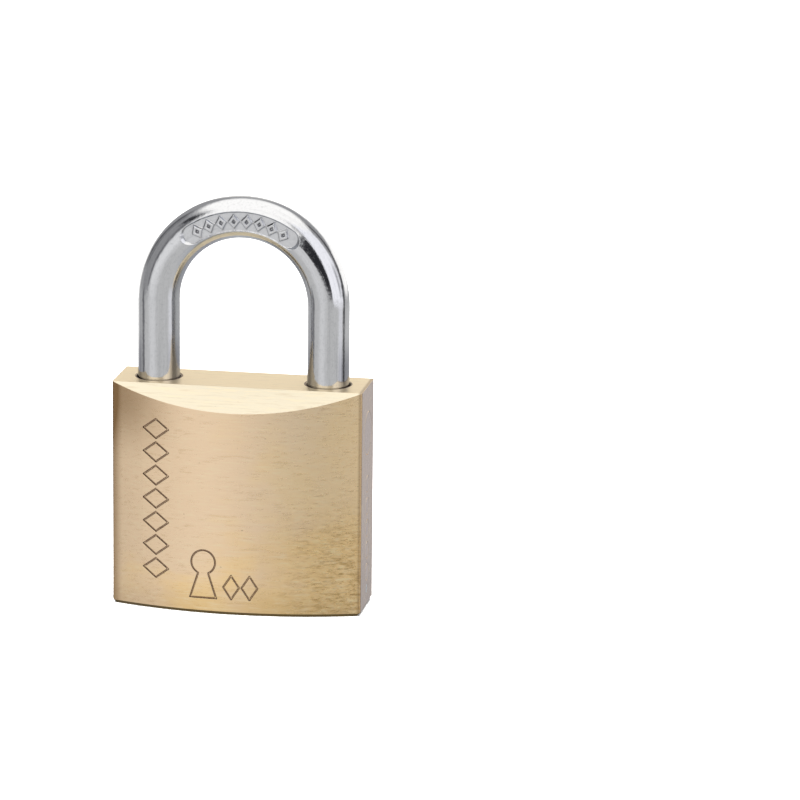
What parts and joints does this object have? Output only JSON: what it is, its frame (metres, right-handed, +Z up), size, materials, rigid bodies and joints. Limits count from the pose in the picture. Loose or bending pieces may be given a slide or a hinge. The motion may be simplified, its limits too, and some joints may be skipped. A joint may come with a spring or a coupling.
{
  "type": "padlock",
  "caption": "Small brass padlock with a chromed shackle held at both legs, and a pin tumbler plug that draws two bolts.",
  "frame": {"origin": "middle of the flat underside", "axes": "+Z up through the shackle, +X to the short toe leg, -Y out of the engraved front"},
  "size_m": [0.03, 0.013, 0.0492],
  "materials": {
    "body_brass": "brushed along its width",
    "shackle_chrome": "polished",
    "plug_brass": "turned",
    "cap_brass": "brushed flush with the side",
    "pin_brass": "turned",
    "bright_steel": "satin",
    "spring_steel": "bright wire"
  },
  "bodies": {
    "lock": {"lock_body": "body_brass", "heel_stop_pin": "bright_steel", "heel_spring": "spring_steel", "bolt_spring": "spring_steel", "bolt_bore_cap": "cap_brass", "plug_retaining_pin": "bright_steel", "chamber_cap_1": "cap_brass", "chamber_cap_2": "cap_brass", "chamber_cap_3": "cap_brass", "chamber_cap_4": "cap_brass", "chamber_cap_5": "cap_brass", "driver_spring_1": "spring_steel", "driver_spring_2": "spring_steel", "driver_spring_3": "spring_steel", "driver_spring_4": "spring_steel", "driver_spring_5": "spring_steel"},
    "shackle": {"shackle": "shackle_chrome"},
    "cylinder": {"plug": "plug_brass", "cam": "bright_steel"},
    "toe_bolt": {"toe_bolt": "bright_steel"},
    "heel_bolt": {"heel_bolt": "bright_steel"},
    "driver_pin_1": {"driver_pin_1": "pin_brass"},
    "driver_pin_2": {"driver_pin_2": "pin_brass"},
    "driver_pin_3": {"driver_pin_3": "pin_brass"},
    "driver_pin_4": {"driver_pin_4": "pin_brass"},
    "driver_pin_5": {"driver_pin_5": "pin_brass"},
    "key_pin_1": {"key_pin_1": "pin_brass"},
    "key_pin_2": {"key_pin_2": "pin_brass"},
    "key_pin_3": {"key_pin_3": "pin_brass"},
    "key_pin_4": {"key_pin_4": "pin_brass"},
    "key_pin_5": {"key_pin_5": "pin_brass"}
  },
  "joints": [
    {"name": "shackle_lift", "type": "slide", "parent": "lock", "child": "shackle", "axis": [0, 0, 1], "range_m": [0, 0.0106], "deforming": ["heel_spring"]},
    {"name": "plug_turn", "type": "hinge", "parent": "lock", "child": "cylinder", "pos_m": [0, 0, 0], "axis": [0, 0, 1], "range_deg": [-90, 0]},
    {"name": "toe_bolt_slide", "type": "slide", "parent": "lock", "child": "toe_bolt", "axis": [1, 0, 0], "range_m": [0, 0.00135], "deforming": ["bolt_spring"]},
    {"name": "heel_bolt_slide", "type": "slide", "parent": "lock", "child": "heel_bolt", "axis": [-1, 0, 0], "range_m": [0, 0.00135], "deforming": ["bolt_spring"]},
    {"name": "tumbler_driver_1", "type": "slide", "parent": "lock", "child": "driver_pin_1", "axis": [1, 0, 0], "range_m": [0, 0.002], "stiffness_N_per_m": 150, "springref_m": -0.004, "deforming": ["driver_spring_1"]},
    {"name": "tumbler_driver_2", "type": "slide", "parent": "lock", "child": "driver_pin_2", "axis": [1, 0, 0], "range_m": [0, 0.002], "stiffness_N_per_m": 150, "springref_m": -0.004, "deforming": ["driver_spring_2"]},
    {"name": "tumbler_driver_3", "type": "slide", "parent": "lock", "child": "driver_pin_3", "axis": [1, 0, 0], "range_m": [0, 0.002], "stiffness_N_per_m": 150, "springref_m": -0.004, "deforming": ["driver_spring_3"]},
    {"name": "tumbler_driver_4", "type": "slide", "parent": "lock", "child": "driver_pin_4", "axis": [1, 0, 0], "range_m": [0, 0.002], "stiffness_N_per_m": 150, "springref_m": -0.004, "deforming": ["driver_spring_4"]},
    {"name": "tumbler_driver_5", "type": "slide", "parent": "lock", "child": "driver_pin_5", "axis": [1, 0, 0], "range_m": [0, 0.002], "stiffness_N_per_m": 150, "springref_m": -0.004, "deforming": ["driver_spring_5"]},
    {"name": "tumbler_key_pin_1", "type": "slide", "parent": "cylinder", "child": "key_pin_1", "axis": [0, 1, 0], "range_m": [-0.00155, 0]},
    {"name": "tumbler_key_pin_2", "type": "slide", "parent": "cylinder", "child": "key_pin_2", "axis": [0, 1, 0], "range_m": [-0.00235, 0]},
    {"name": "tumbler_key_pin_3", "type": "slide", "parent": "cylinder", "child": "key_pin_3", "axis": [0, 1, 0], "range_m": [-0.00095, 0]},
    {"name": "tumbler_key_pin_4", "type": "slide", "parent": "cylinder", "child": "key_pin_4", "axis": [0, 1, 0], "range_m": [-0.00195, 0]},
    {"name": "tumbler_key_pin_5", "type": "slide", "parent": "cylinder", "child": "key_pin_5", "axis": [0, 1, 0], "range_m": [-0.00255, 0]}
  ],
  "couplings": [
    {"joint": "heel_bolt_slide", "follows": "toe_bolt_slide", "ratio": 1},
    {"joint": "plug_turn", "follows": "toe_bolt_slide", "rad_per_m": -1163.5}
  ]
}
